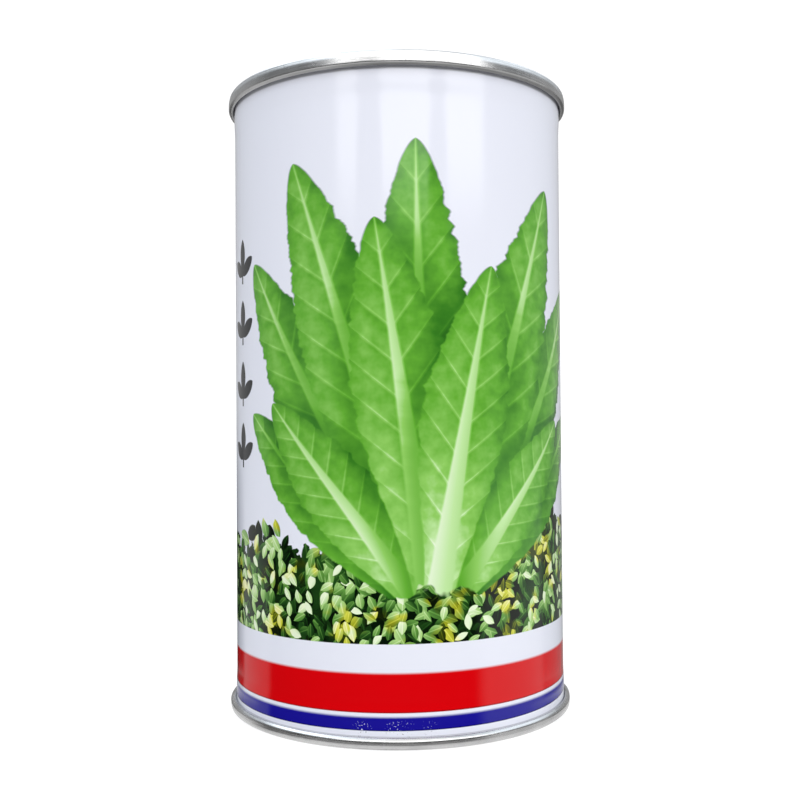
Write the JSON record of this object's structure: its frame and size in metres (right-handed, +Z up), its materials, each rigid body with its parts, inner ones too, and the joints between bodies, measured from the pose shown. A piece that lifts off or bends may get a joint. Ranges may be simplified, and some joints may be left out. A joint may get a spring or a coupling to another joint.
{
  "type": "seed tin",
  "caption": "Sealed round tin of vegetable seed: a printed, lap-welded tinplate body closed by a plain double-seamed end at the top and the bottom.",
  "frame": {"origin": "centre of the ring that the tin stands on", "axes": "+Z up along the tin's axis, -Y towards the front of the print, with the weld on the +X side"},
  "size_m": [0.0684, 0.0684, 0.1212],
  "materials": {
    "printed_tinplate": "white printed tinplate under clear gloss varnish, with a red band and a blue stripe at the foot",
    "bare_tinplate": "bare tinplate, satin, with fine marks round the seams from the seaming rolls",
    "sealing_compound": "matt grey-green lining compound",
    "loose_seed": "fine dry brown seed"
  },
  "bodies": {
    "root": {"tin_body": "printed_tinplate", "top_end": "bare_tinplate", "bottom_end": "bare_tinplate", "top_seal": "sealing_compound", "bottom_seal": "sealing_compound", "seed_fill": "loose_seed"}
  },
  "joints": []
}
